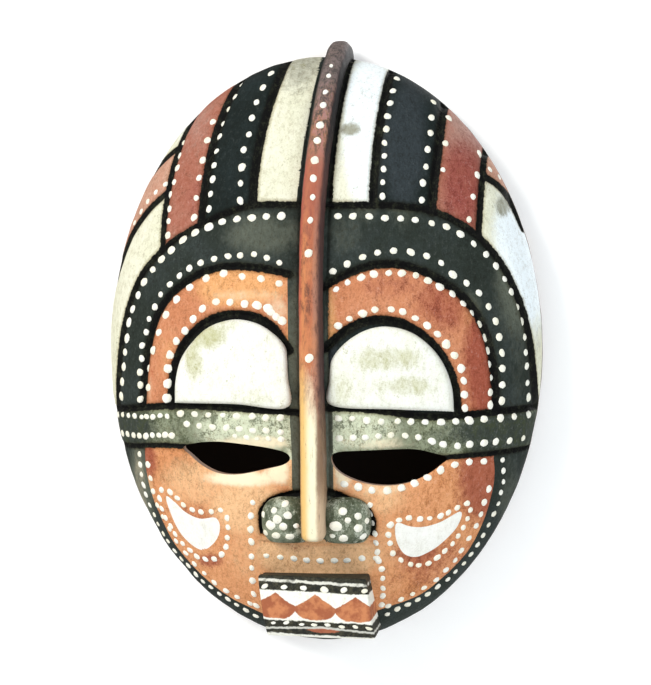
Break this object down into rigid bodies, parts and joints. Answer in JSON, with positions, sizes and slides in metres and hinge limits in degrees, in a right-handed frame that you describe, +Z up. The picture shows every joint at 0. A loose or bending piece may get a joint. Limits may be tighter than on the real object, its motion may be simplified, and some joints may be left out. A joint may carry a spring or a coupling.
{
  "type": "carved wooden mask",
  "caption": "Oval carved and painted wooden face mask, hollow behind, with a crest running into the nose, slit eyes, a box mouth and a hanging ring on its back.",
  "frame": {"origin": "the nail's point of rest: the middle of the hanging ring's inner top, taken straight back to the wall plane", "axes": "+X to the right as the mask is seen from the front, +Y into the wall, +Z up; the rim's back lies in y = 0 and the face looks along -Y"},
  "size_m": [0.22, 0.0749, 0.304],
  "materials": {
    "wood": "carved light hardwood, painted in front and bare behind",
    "red_paint": "carved wood in worn red-brown earth paint",
    "black_paint": "carved wood in worn slate-black paint",
    "white_paint": "carved wood in chalky white paint",
    "peg_wood": "bare hardwood dowel",
    "steel": "dull plated picture-hanging hardware"
  },
  "bodies": {
    "mask": {"mask_shell": "wood", "crest_bar": "red_paint", "nostril_left": "black_paint", "nostril_right": "black_paint", "mouth_block": "white_paint", "eyelid_left": "white_paint", "eyelid_right": "white_paint", "mouth_peg_left": "peg_wood", "mouth_peg_right": "peg_wood", "crest_peg_upper": "peg_wood", "crest_peg_middle": "peg_wood", "crest_peg_lower": "peg_wood", "hanger_strap": "steel", "hanger_screw_upper": "steel", "hanger_screw_lower": "steel"},
    "ring": {"hanger_ring": "steel"}
  },
  "joints": [
    {"name": "ring_swing", "type": "hinge", "parent": "mask", "child": "ring", "pos_m": [0, -0.003, -0.01], "axis": [-1, 0, 0], "range_deg": [-30, 155]}
  ]
}
